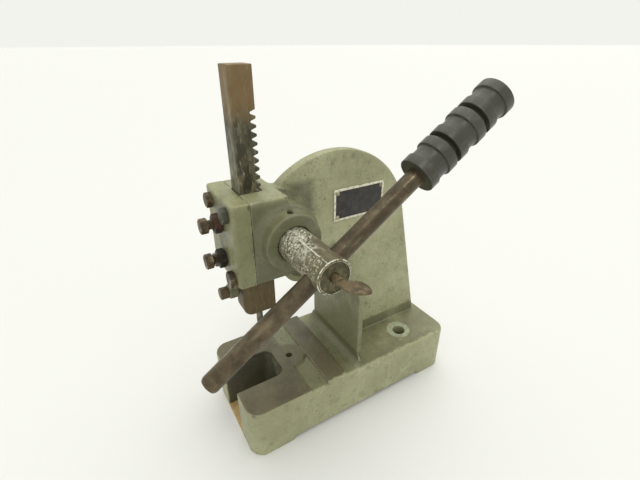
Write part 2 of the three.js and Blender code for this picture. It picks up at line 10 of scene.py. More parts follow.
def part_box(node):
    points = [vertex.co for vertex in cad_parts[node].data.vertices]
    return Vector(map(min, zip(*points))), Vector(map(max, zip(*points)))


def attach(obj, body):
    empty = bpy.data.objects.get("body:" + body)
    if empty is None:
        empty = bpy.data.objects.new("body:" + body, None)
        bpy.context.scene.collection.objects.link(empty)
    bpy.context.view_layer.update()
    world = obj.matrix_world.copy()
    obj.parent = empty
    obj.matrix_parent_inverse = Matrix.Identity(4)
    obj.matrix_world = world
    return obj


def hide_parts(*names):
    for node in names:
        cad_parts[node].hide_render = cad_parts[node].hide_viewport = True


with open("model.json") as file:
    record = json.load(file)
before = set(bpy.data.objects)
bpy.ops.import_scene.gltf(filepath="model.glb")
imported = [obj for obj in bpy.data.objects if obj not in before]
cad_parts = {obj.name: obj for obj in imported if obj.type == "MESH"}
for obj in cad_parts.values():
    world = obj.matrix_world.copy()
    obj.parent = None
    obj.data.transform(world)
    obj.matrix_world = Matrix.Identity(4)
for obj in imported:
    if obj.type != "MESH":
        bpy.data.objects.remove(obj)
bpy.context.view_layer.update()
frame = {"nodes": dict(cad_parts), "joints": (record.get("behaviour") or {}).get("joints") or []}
nodes = frame["nodes"]
joints = {joint["name"]: joint for joint in frame["joints"]}
mm = 0.001

# Axes that the pieces share, all from the frame
hubAxisPoint = Vector(joints["pinion_turn"]["pos_m"])
handleAxis = Vector(joints["handle_slide"]["axis"]).normalized()
xAxis = Vector((1, 0, 0))
yAxis = Vector((0, 1, 0))
zAxis = Vector((0, 0, 1))
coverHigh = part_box("head_cover")[1]
frameLow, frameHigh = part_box("frame_casting")
ramLow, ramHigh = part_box("ram")
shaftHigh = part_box("pinion_shaft")[1]
plateLow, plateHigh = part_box("nameplate")


def linear(code):  # "#RRGGBB" in sRGB to the linear colour that nodes want
    channels = [int(code[i : i + 2], 16) / 255 for i in (1, 3, 5)]
    return [c / 12.92 if c <= 0.04045 else ((c + 0.055) / 1.055) ** 2.4 for c in channels] + [1]


def addNode(tree, kind, settings=None, inputs=None):
    node = tree.nodes.new(kind)
    for name, value in (settings or {}).items():
        setattr(node, name, value)
    for name, value in (inputs or {}).items():
        if isinstance(value, bpy.types.NodeSocket):
            tree.links.new(value, node.inputs[name])
        else:
            node.inputs[name].default_value = value
    return node


def newMaterial(name):
    material = bpy.data.materials.new(name)
    material.use_nodes = True
    tree = material.node_tree
    tree.nodes.clear()
    coords = addNode(tree, "ShaderNodeTexCoord").outputs["Object"]
    return material, tree, coords


def finishMaterial(tree, surface):
    output = addNode(tree, "ShaderNodeOutputMaterial")
    tree.links.new(surface.outputs[0], output.inputs["Surface"])


# A pattern at a real size: noise whose features are about sizeMm across, read between two levels
def patches(tree, coords, sizeMm, low, high, detail=4.0, stretch=(1, 1, 1), shift=0.0):
    mapped = addNode(tree, "ShaderNodeMapping", None,
                     {"Vector": coords, "Location": (shift, shift, shift), "Scale": stretch})
    noise = addNode(tree, "ShaderNodeTexNoise", None,
                    {"Vector": mapped.outputs[0], "Scale": 0.6 / (sizeMm * mm), "Detail": detail,
                     "Roughness": 0.6})
    ramp = addNode(tree, "ShaderNodeMapRange", {"interpolation_type": "SMOOTHSTEP"},
                   {"Value": noise.outputs["Fac"], "From Min": low, "From Max": high})
    return ramp.outputs["Result"]


# Coats laid one over another on a colour: each is (mask, strength, colour)
def layered(tree, colour, *coats):
    for mask, strength, above in coats:
        share = addNode(tree, "ShaderNodeMath", {"operation": "MULTIPLY"}, {0: mask, 1: strength})
        colour = addNode(tree, "ShaderNodeMix", {"data_type": "RGBA"},
                         {0: share.outputs[0], 6: colour, 7: above}).outputs[2]
    return colour


def together(tree, *masks):  # 1 only where every mask is 1
    total = masks[0]
    for mask in masks[1:]:
        total = addNode(tree, "ShaderNodeMath", {"operation": "MULTIPLY"},
                        {0: total, 1: mask}).outputs[0]
    return total


# Surface detail from coarse to fine: each is (height, depthMm, strength)
def relief(tree, *heights):
    normal = None
    for height, depthMm, strength in heights:
        inputs = {"Height": height, "Distance": depthMm * mm, "Strength": strength}
        if normal is not None:
            inputs["Normal"] = normal
        normal = addNode(tree, "ShaderNodeBump", None, inputs).outputs["Normal"]
    return normal


# 1 inside a box given in the frame, falling to 0 over softMm, with an edge uneven in plan
def insideBox(tree, coords, low, high, softMm, unevenMm=0.0):
    if unevenMm:
        noise = addNode(tree, "ShaderNodeTexNoise", None,
                        {"Vector": coords, "Scale": 90.0, "Detail": 5.0, "Roughness": 0.65})
        centred = addNode(tree, "ShaderNodeVectorMath", {"operation": "SUBTRACT"},
                          {0: noise.outputs["Color"], 1: (0.5, 0.5, 0.5)})
        reach = unevenMm * 4 * mm
        scaled = addNode(tree, "ShaderNodeVectorMath", {"operation": "MULTIPLY"},
                         {0: centred.outputs[0], 1: (reach, reach, 0)})
        coords = addNode(tree, "ShaderNodeVectorMath", {"operation": "ADD"},
                         {0: coords, 1: scaled.outputs[0]}).outputs[0]
    centre = (Vector(low) + Vector(high)) / 2
    half = (Vector(high) - Vector(low)) / 2
    offset = addNode(tree, "ShaderNodeVectorMath", {"operation": "SUBTRACT"},
                     {0: coords, 1: centre})
    size = addNode(tree, "ShaderNodeVectorMath", {"operation": "ABSOLUTE"}, {0: offset.outputs[0]})
    inset = addNode(tree, "ShaderNodeVectorMath", {"operation": "SUBTRACT"},
                    {0: half, 1: size.outputs[0]})
    split = addNode(tree, "ShaderNodeSeparateXYZ", None, {0: inset.outputs[0]})
    least = addNode(tree, "ShaderNodeMath", {"operation": "MINIMUM"},
                    {0: split.outputs[0], 1: split.outputs[1]})
    least = addNode(tree, "ShaderNodeMath", {"operation": "MINIMUM"},
                    {0: least.outputs[0], 1: split.outputs[2]})
    ramp = addNode(tree, "ShaderNodeMapRange", {"interpolation_type": "SMOOTHSTEP"},
                   {"Value": least.outputs[0], "From Min": -softMm * mm, "From Max": softMm * mm})
    return ramp.outputs["Result"]


# Convex edges (inside rays), or corners and hollows (outside rays) where the materials lay painted
# shade with some dirt, within distanceMm
def nearEdge(tree, distanceMm, inside, low, high):
    occlusion = addNode(tree, "ShaderNodeAmbientOcclusion",
                        {"inside": inside, "only_local": True, "samples": 8},
                        {"Distance": distanceMm * mm})
    ramp = addNode(tree, "ShaderNodeMapRange", {"interpolation_type": "SMOOTHSTEP"},
                   {"Value": occlusion.outputs["AO"], "From Min": high, "From Max": low})
    return ramp.outputs["Result"]


castingPaint = {
    "paint": "#A3A37F",
    "paintPale": "#B9B998",
    "paintDeep": "#7E7D5C",
    "oiledAndShaded": "#56553B",
    "dust": "#8E8B60",
    "grimeAndShade": "#3B3728",
    "bareIron": "#5E573D",
    "bareIronDark": "#453E2A",
    "bareIronPale": "#7B7354",
    "slotSootAndShade": "#3F3D34",
    "spotFace": "#A2A88B",
    "edgeWearAndHighlight": "#C9C8A6",
    "roughness": 0.42,
}


# Machinery enamel, brushed over sand-cast iron: satin, with a soft grain under it. The grain is
# about 1.2 mm, drawn a little coarser than real so that it shows.
def enamelOverIron(name, values, bareBoxes=(), sootAndShadeBoxes=(), shadeAndOilBoxes=(), spots=(), cornerGrimeAndShade=0.5,
                   wearAndHighlight=0.6):
    material, tree, coords = newMaterial(name)
    tone = {key: linear(code) for key, code in values.items() if key != "roughness"}
    facing = addNode(tree, "ShaderNodeNewGeometry").outputs["Normal"]
    upward = addNode(tree, "ShaderNodeSeparateXYZ", None, {0: facing}).outputs[2]
    topDust = addNode(tree, "ShaderNodeMapRange", {"interpolation_type": "SMOOTHSTEP"},
                      {"Value": upward, "From Min": 0.6, "From Max": 1.0}).outputs["Result"]
    coats = [
        (patches(tree, coords, 45, 0.38, 0.68), 0.5, tone["paintDeep"]),
        (patches(tree, coords, 18, 0.5, 0.8, shift=3), 0.55, tone["paintPale"]),
        (patches(tree, coords, 1.3, 0.4, 0.72, detail=6), 0.4, tone["paintDeep"]),
        (patches(tree, coords, 7, 0.5, 0.8, detail=9, shift=27), 0.5, tone["grimeAndShade"]),
        (patches(tree, coords, 0.8, 0.52, 0.7, detail=5, shift=15), 0.22, tone["paintPale"]),
    ]
    # painted shade, partly hand and cutting oil: boxes darken the head, the throat and the flat top
    # of the base, where shade falls
    for low, high, softMm, strength in shadeAndOilBoxes:
        oiledAndShaded = together(tree, insideBox(tree, coords, low, high, softMm, 2.5),
                         patches(tree, coords, 24, 0.15, 0.5, shift=17))
        coats.append((oiledAndShaded, strength, tone["oiledAndShaded"]))
    coats.append((together(tree, topDust, patches(tree, coords, 12, 0.3, 0.7, shift=5)), 0.3,
                  tone["dust"]))
    # worn paint on convex edges, partly a painted highlight: the rounded edges are made paler
    edge = together(tree, nearEdge(tree, 2.0, True, 0.55, 0.86),
                    patches(tree, coords, 5, 0.34, 0.6, shift=1))
    coats.append((edge, wearAndHighlight, tone["edgeWearAndHighlight"]))
    # painted shade, with some grime: corners and hollows within 9 mm are darkened in colour
    grimeAndShade = together(tree, nearEdge(tree, 9, False, 0.35, 0.9),
                     patches(tree, coords, 6, 0.22, 0.6, shift=2))
    coats.append((grimeAndShade, cornerGrimeAndShade, tone["grimeAndShade"]))
    smears = together(tree, patches(tree, coords, 8, 0.56, 0.74, detail=8, stretch=(1, 1, 0.35),
                                    shift=19), patches(tree, coords, 40, 0.45, 0.65, shift=23))
    coats.append((smears, 0.6, tone["grimeAndShade"]))
    chips = together(tree, patches(tree, coords, 1.5, 0.645, 0.675, detail=2, shift=8),
                     patches(tree, coords, 26, 0.42, 0.6, shift=11))
    coats.append((chips, 0.95, tone["bareIronDark"]))
    colour = layered(tree, tone["paint"], *coats)

    iron = layered(
        tree, tone["bareIron"],
        (patches(tree, coords, 26, 0.38, 0.66, shift=4), 0.8, tone["bareIronDark"]),
        (patches(tree, coords, 6, 0.55, 0.8, detail=8, shift=6), 0.4, tone["bareIronPale"]),
        (patches(tree, coords, 1.1, 0.55, 0.75, detail=5, shift=16), 0.35, tone["bareIronDark"]))
    for low, high, uneven in bareBoxes:
        colour = layered(tree, colour, (insideBox(tree, coords, low, high, 0.6, uneven), 1.0, iron))
    # painted shade, partly soot and oil: the walls of the slot are darkened in colour
    for low, high in sootAndShadeBoxes:
        colour = layered(tree, colour,
                         (insideBox(tree, coords, low, high, 1.2, 1.0), 0.9, tone["slotSootAndShade"]))
    worn = layered(tree, tone["spotFace"],
                   (patches(tree, coords, 2.5, 0.4, 0.7, shift=9), 0.8, linear("#7F8268")))
    for centre, radius in spots:
        away = addNode(tree, "ShaderNodeVectorMath", {"operation": "DISTANCE"},
                       {0: coords, 1: centre})
        ring = addNode(tree, "ShaderNodeMapRange", {"interpolation_type": "SMOOTHSTEP"},
                       {"Value": away.outputs["Value"], "From Min": radius + 0.4 * mm,
                        "From Max": radius - 0.4 * mm})
        colour = layered(tree, colour, (together(tree, ring.outputs["Result"], topDust), 1.0, worn))

    normal = relief(tree, (patches(tree, coords, 11, 0.2, 0.8, detail=2, shift=12), 0.9, 0.5),
                    (patches(tree, coords, 1.5, 0.25, 0.8, detail=6, shift=7), 0.3, 0.95))
    rough = addNode(tree, "ShaderNodeMapRange", None,
                    {"Value": patches(tree, coords, 8, 0.3, 0.7, shift=13),
                     "To Min": values["roughness"] - 0.06, "To Max": values["roughness"] + 0.14})
    shader = addNode(tree, "ShaderNodeBsdfPrincipled", None,
                     {"Base Color": colour, "Roughness": rough.outputs["Result"],
                      "Normal": normal})
    finishMaterial(tree, shader)
    return material


# Machined or rolled steel that has browned with age: a base colour, darker oil stains, paler
# rubbed places, and rust. Streaks run along the piece's own axis. Each of more adds coats.
def agedSteel(name, base, dark, pale, rust, rustAmount=0.3, roughness=0.42, metallic=0.7,
              stretch=(1, 1, 1), grainMm=0.8, paleAmount=0.5, more=()):
    material, tree, coords = newMaterial(name)
    rubbed = patches(tree, coords, 4, 0.5, 0.72, detail=8, stretch=stretch, shift=3)
    colour = layered(
        tree, linear(base),
        (patches(tree, coords, 12, 0.35, 0.66, stretch=stretch), 0.9, linear(dark)),
        (rubbed, paleAmount, linear(pale)),
        (patches(tree, coords, 3, 0.48, 0.68, detail=7, shift=5), rustAmount, linear(rust)))
    for addCoats in more:
        colour = addCoats(tree, coords, colour)
    edge = together(tree, nearEdge(tree, 0.8, True, 0.5, 0.85),
                    patches(tree, coords, 2.4, 0.35, 0.6, shift=6))
    # Paler worn edges, and painted shade: corners and crevices within 3 mm are darkened in colour
    colour = layered(tree, colour, (edge, 0.5, linear(pale)),
                     (nearEdge(tree, 3, False, 0.3, 0.9), 0.6, linear("#262219")))
    normal = relief(tree, (patches(tree, coords, 2.4, 0.3, 0.7, detail=4, shift=8), 0.12, 0.4),
                    (patches(tree, coords, grainMm, 0.2, 0.85, detail=6, stretch=stretch, shift=7),
                     0.05, 0.5))
    rough = addNode(tree, "ShaderNodeMapRange", None,
                    {"Value": rubbed, "To Min": roughness + 0.12, "To Max": roughness - 0.1})
    shader = addNode(tree, "ShaderNodeBsdfPrincipled", None,
                     {"Base Color": colour, "Metallic": metallic,
                      "Roughness": rough.outputs["Result"], "Normal": normal})
    finishMaterial(tree, shader)
    return material


def newObject(name, mesh):
    obj = bpy.data.objects.new(name, mesh)
    bpy.context.scene.collection.objects.link(obj)
    return obj


def applyModifiers(obj):
    graph = bpy.context.evaluated_depsgraph_get()
    mesh = bpy.data.meshes.new_from_object(obj.evaluated_get(graph))
    obj.modifiers.clear()
    obj.data = mesh


# A skin over a CAD node: its edges and corners rounded as the foundry or years of use leave them
def skinOf(node, name, voxelMm, smoothing, triangles):
    source = bmesh.new()
    source.from_mesh(nodes[node].data)
    bmesh.ops.remove_doubles(source, verts=source.verts, dist=0.002 * mm)
    mesh = bpy.data.meshes.new(name)
    source.to_mesh(mesh)
    source.free()
    obj = newObject(name, mesh)
    remesh = obj.modifiers.new("skin", "REMESH")
    remesh.mode = "VOXEL"
    remesh.voxel_size = voxelMm * mm
    remesh.use_smooth_shade = True
    smooth = obj.modifiers.new("soften", "SMOOTH")
    smooth.factor = 0.5
    smooth.iterations = smoothing
    applyModifiers(obj)
    count = len(obj.data.polygons) * 2
    if count > triangles:
        thin = obj.modifiers.new("thin", "DECIMATE")
        thin.ratio = triangles / count
        applyModifiers(obj)
    for polygon in obj.data.polygons:
        polygon.use_smooth = True
    return obj


def evenShading(obj):
    weighted = obj.modifiers.new("normals", "WEIGHTED_NORMAL")
    weighted.mode = "FACE_AREA"
    weighted.weight = 60
    applyModifiers(obj)


# Pushes a faceted cylinder's skin out to the true circle
def trueRound(obj, point, axis, radius, reachMm, span=None):
    axis = axis.normalized()
    mesh = obj.data
    co = np.zeros(len(mesh.vertices) * 3)
    mesh.vertices.foreach_get("co", co)
    co = co.reshape(-1, 3)
    rel = co - np.array(point)
    along = rel @ np.array(axis)
    radial = rel - np.outer(along, np.array(axis))
    distance = np.linalg.norm(radial, axis=1)
    near = np.abs(distance - radius) < reachMm * mm
    if span:
        near &= (along > span[0]) & (along < span[1])
    co[near] += radial[near] * ((radius - distance[near]) / distance[near])[:, None]
    mesh.vertices.foreach_set("co", co.ravel())
    mesh.update()


def sideways(axis):
    axis = axis.normalized()
    first = axis.orthogonal().normalized() if abs(axis.z) > 0.9 else axis.cross(zAxis).normalized()
    return first, axis.cross(first)


# Rings of points round an axis, joined into one closed skin. Each ring is (radius, along), and
# either may be an array with one value for each point of the ring.
def ringStack(name, rings, origin, axis, segments=96, sharpDegrees=35):
    axis = axis.normalized()
    first, second = sideways(axis)
    angles = np.linspace(0, 2 * math.pi, segments, endpoint=False)
    spokes = np.outer(np.cos(angles), first) + np.outer(np.sin(angles), second)
    points = [np.array(origin + axis * float(np.mean(rings[0][1])))[None]]
    for radius, along in rings:
        radius = np.broadcast_to(radius, segments)
        along = np.broadcast_to(along, segments)
        points.append(np.array(origin) + spokes * radius[:, None] + np.outer(along, axis))
    points.append(np.array(origin + axis * float(np.mean(rings[-1][1])))[None])
    flat = np.concatenate(points)
    faces = []
    last = len(flat) - 1
    for k in range(segments):
        after = (k + 1) % segments
        faces.append((0, 1 + after, 1 + k))
        top = last - segments
        faces.append((last, top + k, top + after))
    for ring in range(len(rings) - 1):
        base = 1 + ring * segments
        for k in range(segments):
            after = (k + 1) % segments
            faces.append((base + k, base + after, base + segments + after, base + segments + k))
    mesh = bpy.data.meshes.new(name)
    mesh.from_pydata(flat.tolist(), [], faces)
    bm = bmesh.new()
    bm.from_mesh(mesh)
    bmesh.ops.remove_doubles(bm, verts=bm.verts, dist=0.001 * mm)
    bmesh.ops.recalc_face_normals(bm, faces=bm.faces)
    bm.to_mesh(mesh)
    bm.free()
    for polygon in mesh.polygons:
        polygon.use_smooth = True
    mesh.set_sharp_from_angle(angle=math.radians(sharpDegrees))
    return newObject(name, mesh)


def roundProfile(points, radius=0.5 * mm, steps=4):  # rounds each corner of a (radius, along) line
    out = [points[0]]
    for before, here, after in zip(points, points[1:], points[2:]):
        a, p, b = (Vector((*q, 0)) for q in (before, here, after))
        reach = min(radius, (a - p).length * 0.45, (b - p).length * 0.45)
        start = p + (a - p).normalized() * reach
        end = p + (b - p).normalized() * reach
        for i in range(steps + 1):
            t = i / steps
            q = start * (1 - t) ** 2 + p * 2 * t * (1 - t) + end * t**2
            out.append((q.x, q.y))
    out.append(points[-1])
    return out


def hexRadius(acrossFlats, segments, soften=0.975):
    angles = np.linspace(0, 2 * math.pi, segments, endpoint=False)
    within = (angles % (math.pi / 3)) - math.pi / 6
    radius = acrossFlats / 2 / np.cos(within)
    return np.minimum(radius, acrossFlats / math.sqrt(3) * soften)


# Rings of a hexagon head between two distances, with corners turned off at one or both ends
def hexRings(acrossFlats, start, end, segments, bothEnds=True):
    hexagon = hexRadius(acrossFlats, segments)
    flat = acrossFlats / 2 * 0.95
    fall = (hexagon - flat) * math.tan(math.radians(28))
    rings = [(flat * 0.97, start), (flat, start + 0.03 * mm), (hexagon, start + fall + 0.06 * mm)]
    if bothEnds:
        rings += [(hexagon, end - fall - 0.06 * mm), (flat, end)]
    else:
        rings += [(hexagon, end - 0.3 * mm), (hexagon * 0.985, end)]
    return rings


# Rings of a screw thread: a ridge that climbs one pitch for each turn
def threadRings(radius, start, end, pitch, depth, segments):
    angles = np.linspace(0, 1, segments, endpoint=False)
    count = max(8, int((end - start) / (pitch / 7)))
    rings = []
    for along in np.linspace(start, end, count):
        phase = (along / pitch - angles) % 1
        ridge = 1 - np.abs(phase * 2 - 1)
        rings.append((radius - depth * (1 - np.clip(ridge * 1.3, 0, 1)), along))
    return rings


def roughen(obj, amountMm, sizeMm, seed=0):  # small dents, so that no face is perfectly flat
    texture = bpy.data.textures.new(obj.name + "Dents", "CLOUDS")
    texture.noise_scale = sizeMm * mm
    texture.noise_depth = 2
    dents = obj.modifiers.new("dents", "DISPLACE")
    dents.texture = texture
    dents.strength = amountMm * mm
    dents.mid_level = 0.5
    applyModifiers(obj)


def place(obj, material, body, *replaced):
    obj.data.materials.clear()
    obj.data.materials.append(material)
    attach(obj, body)
    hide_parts(*replaced)
    return obj


castSkin = {"voxelMm": 0.85, "smoothing": 5, "triangles": 185000}
bossRadius = 29 * mm

# Places on the casting that differ from its plain paint, most as a low and a high corner
tableTop = 58.6 * mm
front = frameLow.y
table = ((frameLow.x - 1 * mm, front - 2 * mm, tableTop),
         (frameHigh.x + 1 * mm, front + 64.6 * mm, 0.07))
pinBoss = ((-16.5 * mm, front + 60 * mm, tableTop), (16.5 * mm, front + 84.6 * mm, 0.07))
crossRib = ((frameLow.x - 1 * mm, front + 85 * mm, tableTop),
            (frameHigh.x - 3 * mm, front + 107.2 * mm, 0.07))
# Boxes of painted shade, partly oil: the head, the foot of the head, the lug under the cover, the
# throat and the flat top of the base
headZone = ((-0.1, front - 0.02, 0.176), (0.1, front + 0.098, 0.2555), 5, 0.85)
headFoot = ((-0.1, front + 0.004, 0.180), (0.033, front + 0.07, 0.192), 3, 0.55)
lugShadeAndOilZone = ((-0.012, front - 0.01, 0.150), (0.012, front + 0.0215, 0.1865), 1.5, 0.95)
throatZone = ((-0.1, front + 0.05, 0.062), (0.1, front + 0.134, 0.185), 2, 0.65)
baseTopZone = ((-0.1, front + 0.004, 0.0545), (0.0535, front + 0.252, 0.07), 1.2, 0.72)
slotWalls = ((-21.5 * mm, front + 0.8 * mm, -0.01), (21.5 * mm, front + 53.2 * mm, 58.4 * mm))
spotCentres = [((side * 28.6 * mm, front + 201 * mm, 55.6 * mm), 13.8 * mm) for side in (-1, 1)]

framePaint = enamelOverIron(
    "enamelOnCastIron",
    castingPaint,
    bareBoxes=[(*table, 1.3), (*pinBoss, 1.0), (*crossRib, 1.6)],
    sootAndShadeBoxes=[slotWalls],
    shadeAndOilBoxes=[headZone, headFoot, throatZone, baseTopZone],
    cornerGrimeAndShade=0.8,
    spots=spotCentres,
)
casting = skinOf("frame_casting", "castFrame", **castSkin)
trueRound(casting, hubAxisPoint, xAxis, bossRadius, 0.25, (14 * mm, 34 * mm))
evenShading(casting)
place(casting, framePaint, "frame", "frame_casting")
print("frame casting:", len(casting.data.polygons), "faces")

coverSkin = {"voxelMm": 0.5, "smoothing": 4, "triangles": 90000}
coverPaint = dict(castingPaint, paint="#98996F", paintDeep="#7C7B58")
screwStains = ((-13 * mm, front + 5 * mm, 0.19), (13 * mm, front + 16 * mm, 0.252), 4, 0.8)
seamLine = ((-0.05, coverHigh.y - 0.7 * mm, 0.18), (0.05, coverHigh.y + 1 * mm, 0.26), 0.3, 1.0)
# The cover takes painted shade on the head and on its lug, with oil stains round the screws and a
# dark seam
coverMaterial = enamelOverIron("enamelOnCover", coverPaint,
                               shadeAndOilBoxes=[(*headZone[:3], 0.4), screwStains, seamLine, lugShadeAndOilZone],
                               cornerGrimeAndShade=0.9,
                               wearAndHighlight=0.85)
cover = skinOf("head_cover", "coverCasting", **coverSkin)
evenShading(cover)
place(cover, coverMaterial, "frame", "head_cover")
print("head cover:", len(cover.data.polygons), "faces")


ramSkin = {"voxelMm": 0.38, "smoothing": 2, "triangles": 90000}
ramColours = {"top": "#7D6745", "body": "#6A6752", "front": "#8D8A78", "foot": "#5B4C2F"}


# Tan and dry where it never enters the head, dark and oily where it slides, scraped on its face
def ramTones(tree, coords, colour):
    top = ((-0.1, -0.3, ramHigh.z - 35 * mm), (0.1, 0, ramHigh.z + 0.1))
    band = ((-0.1, -0.3, ramHigh.z - 66 * mm), (0.1, 0, ramHigh.z - 40 * mm))
    foot = ((-0.1, -0.3, ramLow.z - 0.1), (0.1, 0, ramLow.z + 43 * mm))
    face = ((-0.1, -0.3, ramLow.z + 50 * mm), (0.1, front + 29.4 * mm, ramHigh.z - 44 * mm))
    scraped = together(tree, insideBox(tree, coords, *face, 1.2, 1.0),
                       patches(tree, coords, 3, 0.44, 0.62, detail=9, stretch=(1, 1, 0.4),
                               shift=21))
    return layered(tree, colour,
                   (patches(tree, coords, 3.2, 0.5, 0.58, detail=9, stretch=(1, 1, 0.4), shift=25),
                    0.75, linear("#2E2B1F")),
                   (patches(tree, coords, 2.2, 0.55, 0.63, detail=9, stretch=(1, 1, 0.3), shift=53),
                    0.5, linear("#A3A08A")),
                   (insideBox(tree, coords, *band, 7, 0), 0.5, linear("#454233")),
                   (insideBox(tree, coords, *top, 11, 0), 0.8,
                    layered(tree, linear(ramColours["top"]),
                            (patches(tree, coords, 13, 0.5, 0.75, shift=55), 0.6,
                             linear("#8C6B38")))),
                   (insideBox(tree, coords, *foot, 6, 0), 0.8, linear(ramColours["foot"])),
                   (scraped, 0.6, linear(ramColours["front"])))


ramMaterial = agedSteel("brownedRackSteel", ramColours["body"], "#454130", "#928B72", "#6A5230",
                        rustAmount=0.35, roughness=0.44, metallic=0.5, stretch=(1, 1, 0.3),
                        more=[ramTones])
ram = skinOf("ram", "rackRam", **ramSkin)
evenShading(ram)
place(ram, ramMaterial, "ram_bar", "ram")

pinLow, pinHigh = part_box("ram_pin")
pinCentre = Vector(((pinLow.x + pinHigh.x) / 2, (pinLow.y + pinHigh.y) / 2, 0))
pinRadius = (pinHigh.x - pinLow.x) / 2
pinProfile = roundProfile([(pinRadius * 0.55, pinLow.z), (pinRadius * 0.8, pinLow.z),
                           (pinRadius, pinLow.z + 0.7 * mm), (pinRadius, pinHigh.z)])
toolPin = ringStack("toolPin", pinProfile, pinCentre, zAxis, 48)
pinMaterial = agedSteel("groundPinSteel", "#6E6858", "#4A463C", "#A09A88", "#6B5238",
                        rustAmount=0.25, roughness=0.34, metallic=0.8)
place(toolPin, pinMaterial, "ram_bar", "ram_pin")
print("ram:", len(ram.data.polygons), "faces")


shaftSkin = {"voxelMm": 0.38, "smoothing": 2, "triangles": 120000}
hubRadius = 14.6 * mm
scratchAngle = math.radians(114)
shaftColours = {"steel": "#6B6549", "dark": "#4B442E", "chalk": "#E6E5D4", "brown": "#645637",
                "face": "#4A4430", "rim": "#DFDECB"}


# Bright where hands and the handle rub: speckled along the top, a bare rim, one long scratch
def shaftWear(tree, coords, colour):
    dust = patches(tree, coords, 0.9, 0.5, 0.6, detail=8, shift=31)
    frontSide = insideBox(tree, coords, (0.04, -1, hubAxisPoint.z - 9 * mm),
                          (shaftHigh.x - 4 * mm, hubAxisPoint.y - 5.5 * mm, 1), 2, 1.2)
    nearBoss = insideBox(tree, coords, (0.04, -1, hubAxisPoint.z + 3 * mm),
                         (0.068, hubAxisPoint.y + 9 * mm, 1), 5, 2)
    powder = together(tree, dust, frontSide,
                      patches(tree, coords, 6, 0.3, 0.62, detail=6, stretch=(0.5, 1, 1), shift=33))
    scratchAt = Vector((0, hubAxisPoint.y + hubRadius * math.cos(scratchAngle),
                        hubAxisPoint.z + hubRadius * math.sin(scratchAngle)))
    scratch = insideBox(tree, coords,
                        scratchAt + Vector((64 * mm, -0.32 * mm, -2 * mm)),
                        scratchAt + Vector((shaftHigh.x - 1 * mm, 0.32 * mm, 2 * mm)), 0.22)
    endZone = insideBox(tree, coords, (shaftHigh.x - 2.2 * mm, -1, -1), (shaftHigh.x + 0.01, 1, 1),
                        0.2)
    flat = addNode(tree, "ShaderNodeVectorMath", {"operation": "MULTIPLY"},
                   {0: coords, 1: (0, 1, 1)})
    away = addNode(tree, "ShaderNodeVectorMath", {"operation": "DISTANCE"},
                   {0: flat.outputs[0], 1: (0, hubAxisPoint.y, hubAxisPoint.z)}).outputs["Value"]
    alongTop = insideBox(tree, coords, (0.034, hubAxisPoint.y - 13 * mm, hubAxisPoint.z + 6 * mm),
                         (0.083, hubAxisPoint.y - 1 * mm, 1), 3.5, 1.2)
    coats = [(powder, 0.85, linear(shaftColours["chalk"])),
             (together(tree, dust, nearBoss), 0.8, linear(shaftColours["chalk"])),
             (together(tree, alongTop, patches(tree, coords, 1.6, 0.42, 0.6, detail=8, shift=51)),
              0.55, linear(shaftColours["chalk"])),
             (together(tree, scratch, patches(tree, coords, 3, 0.3, 0.5, shift=37)), 0.8,
              linear(shaftColours["chalk"]))]
    disc = addNode(tree, "ShaderNodeMapRange", {"interpolation_type": "SMOOTHSTEP"},
                   {"Value": away, "From Min": 13.6 * mm, "From Max": 12.9 * mm})
    stained = layered(tree, linear(shaftColours["face"]),
                      (patches(tree, coords, 1.8, 0.42, 0.66, detail=8, shift=39), 0.8,
                       linear("#77734F")))
    coats.append((together(tree, disc.outputs["Result"], endZone), 0.95, stained))
    for radius, half in ((14.0 * mm, 0.3 * mm), (12.7 * mm, 0.16 * mm)):
        offset = addNode(tree, "ShaderNodeMath", {"operation": "SUBTRACT"}, {0: away, 1: radius})
        size = addNode(tree, "ShaderNodeMath", {"operation": "ABSOLUTE"}, {0: offset.outputs[0]})
        line = addNode(tree, "ShaderNodeMapRange", {"interpolation_type": "SMOOTHSTEP"},
                       {"Value": size.outputs[0], "From Min": half + 0.15 * mm,
                        "From Max": half - 0.15 * mm})
        coats.append((together(tree, line.outputs["Result"], endZone,
                               patches(tree, coords, 1.5, 0.36, 0.52, shift=35)), 0.95,
                      linear(shaftColours["rim"])))
    return layered(tree, colour, *coats)


shaftMaterial = agedSteel("turnedShaftSteel", shaftColours["steel"], shaftColours["dark"],
                          "#97907A", shaftColours["brown"], rustAmount=0.4, roughness=0.44,
                          metallic=0.4, stretch=(0.5, 1, 1), more=[shaftWear])
shaft = skinOf("pinion_shaft", "pinionShaft", **shaftSkin)
trueRound(shaft, hubAxisPoint, xAxis, hubRadius, 0.16, (10 * mm, shaftHigh.x - 1.6 * mm))
evenShading(shaft)
place(shaft, shaftMaterial, "pinion", "pinion_shaft")

washerLow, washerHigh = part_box("pinion_washer")
washerAxis = Vector((0, hubAxisPoint.y, hubAxisPoint.z))
washerRadius = (washerHigh.y - washerLow.y) / 2
washerBore = 4.4 * mm
washerProfile = roundProfile([
    (washerBore, washerLow.x), (washerRadius * 0.9, washerLow.x),
    (washerRadius, washerLow.x + 0.3 * mm), (washerRadius, washerHigh.x),
    (washerBore, washerHigh.x)], 0.3 * mm)
washer = ringStack("shaftWasher", washerProfile, washerAxis, xAxis, 72)
washerMaterial = agedSteel("dullWasherSteel", "#5A5346", "#3B362E", "#8B8472", "#6B4A2E",
                           rustAmount=0.4, roughness=0.5)
place(washer, washerMaterial, "pinion", "pinion_washer")
print("pinion shaft:", len(shaft.data.polygons), "faces")


